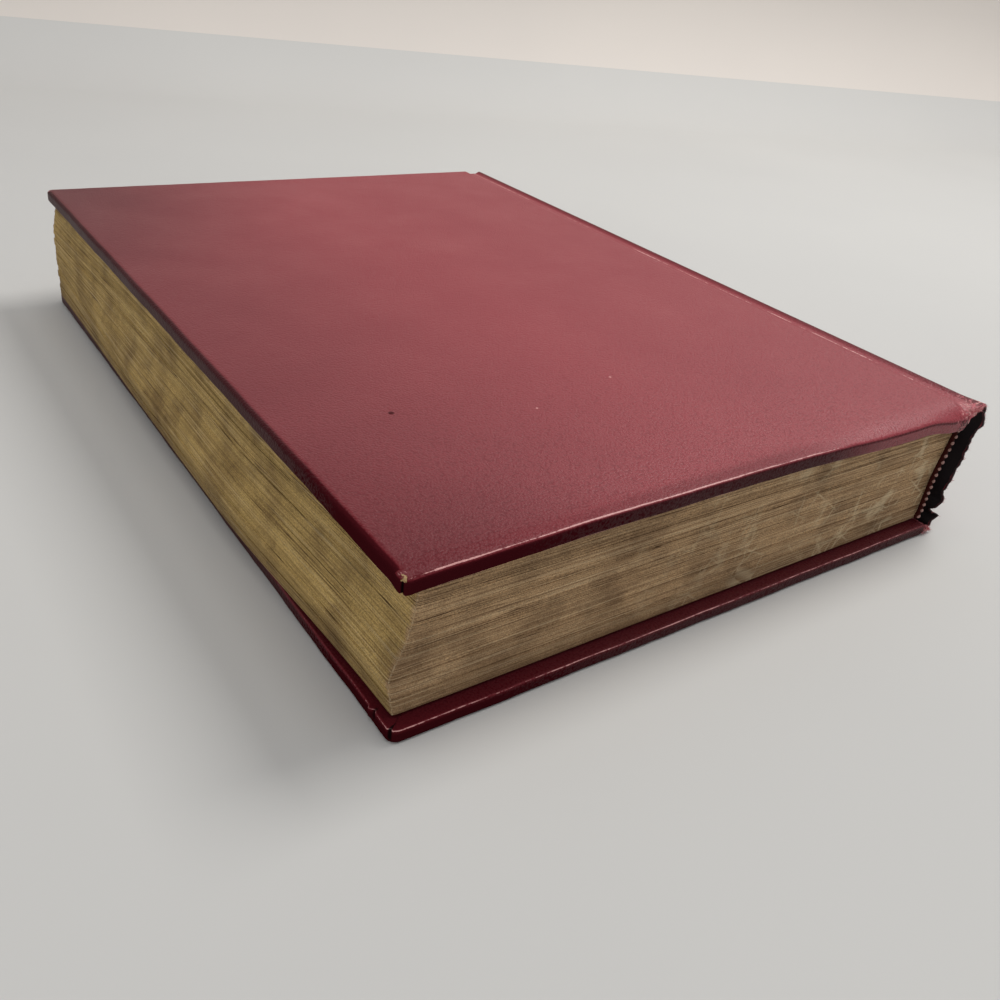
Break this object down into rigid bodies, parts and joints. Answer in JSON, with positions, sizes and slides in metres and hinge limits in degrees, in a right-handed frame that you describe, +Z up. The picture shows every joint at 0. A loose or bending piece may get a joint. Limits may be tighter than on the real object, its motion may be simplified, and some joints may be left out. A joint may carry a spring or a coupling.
{
  "type": "hardback book",
  "caption": "Old leather-bound hardback book with hinged covers, a swollen block of browned leaves and a spine torn at the head.",
  "frame": {"origin": "centre of the back cover's outer face, on the surface that the book lies on", "axes": "+X from the fore-edge to the spine, +Y from the head to the tail, +Z up through the closed book to the front cover"},
  "size_m": [0.1898, 0.254, 0.0412],
  "materials": {
    "leather": "maroon bookbinding leather, fine pebbled grain, rubbed at the edges",
    "leaves": "cut page edges, browned and dusty",
    "endpaper": "plain aged endpaper",
    "millboard": "grey-brown millboard",
    "inlay_card": "thin black card",
    "linen": "unbleached linen tape and lining cloth",
    "band_thread": "sewn silk band, pale and dark red beads"
  },
  "bodies": {
    "text_block": {"text_block": "leaves", "front_flyleaf": "endpaper", "back_flyleaf": "endpaper", "head_band": "band_thread", "tail_band": "band_thread", "sewing_tapes": "linen", "spine_lining": "linen", "spine_inlay": "inlay_card", "spine_leather": "leather"},
    "front_cover": {"front_board": "millboard", "front_leather": "leather", "front_pastedown": "endpaper"},
    "back_cover": {"back_board": "millboard", "back_leather": "leather", "back_pastedown": "endpaper"}
  },
  "joints": [
    {"name": "front_cover_hinge", "type": "hinge", "parent": "text_block", "child": "front_cover", "pos_m": [0.0905, 0, 0.0409], "axis": [0, 1, 0], "range_deg": [0, 178]},
    {"name": "back_cover_hinge", "type": "hinge", "parent": "text_block", "child": "back_cover", "pos_m": [0.0905, 0, 0.0003], "axis": [0, -1, 0], "range_deg": [0, 178]}
  ]
}
